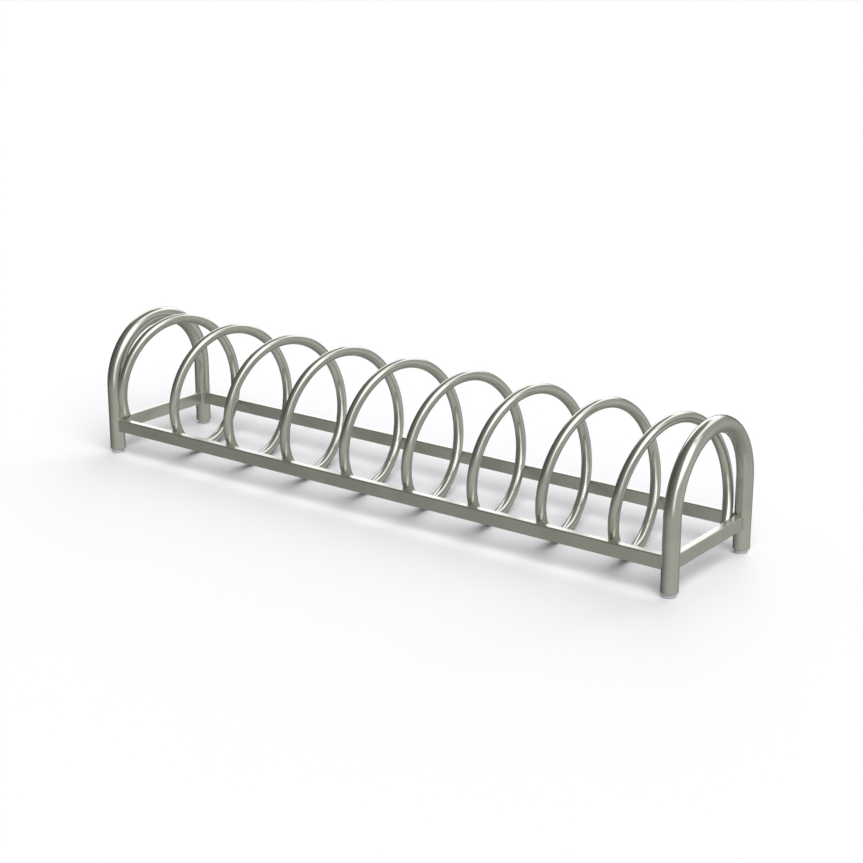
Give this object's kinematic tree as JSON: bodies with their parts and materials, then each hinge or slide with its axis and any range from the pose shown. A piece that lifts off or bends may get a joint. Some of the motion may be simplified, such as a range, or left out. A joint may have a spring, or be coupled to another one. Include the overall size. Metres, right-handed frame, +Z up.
{
  "type": "bike rack",
  "caption": "Free-standing spiral bike rack: one long tube coiled into upright arches, welded inside a rectangular base frame between end hoops, with wheel slots between the arches.",
  "frame": {"origin": "on the ground, midway between the end hoops and midway between the front and rear legs", "axes": "+X along the rack from the coil's start to its finish, +Y from the front rail to the rear rail, +Z up"},
  "size_m": [2.608, 0.558, 0.5489],
  "materials": {
    "hoop_steel": "satin ground stainless steel",
    "coil_steel": "satin ground stainless steel",
    "rail_steel": "satin ground stainless steel",
    "plate_steel": "satin ground stainless steel",
    "foot_rubber": "matt grey rubber"
  },
  "bodies": {
    "root": {"left_end_hoop": "hoop_steel", "right_end_hoop": "hoop_steel", "front_rail": "rail_steel", "rear_rail": "rail_steel", "left_end_rail": "rail_steel", "right_end_rail": "rail_steel", "spiral_coil": "coil_steel", "coil_start_cap": "coil_steel", "coil_finish_cap": "coil_steel", "front_left_end_plate": "plate_steel", "rear_left_end_plate": "plate_steel", "front_right_end_plate": "plate_steel", "rear_right_end_plate": "plate_steel", "front_left_foot": "foot_rubber", "rear_left_foot": "foot_rubber", "front_right_foot": "foot_rubber", "rear_right_foot": "foot_rubber"}
  },
  "joints": []
}
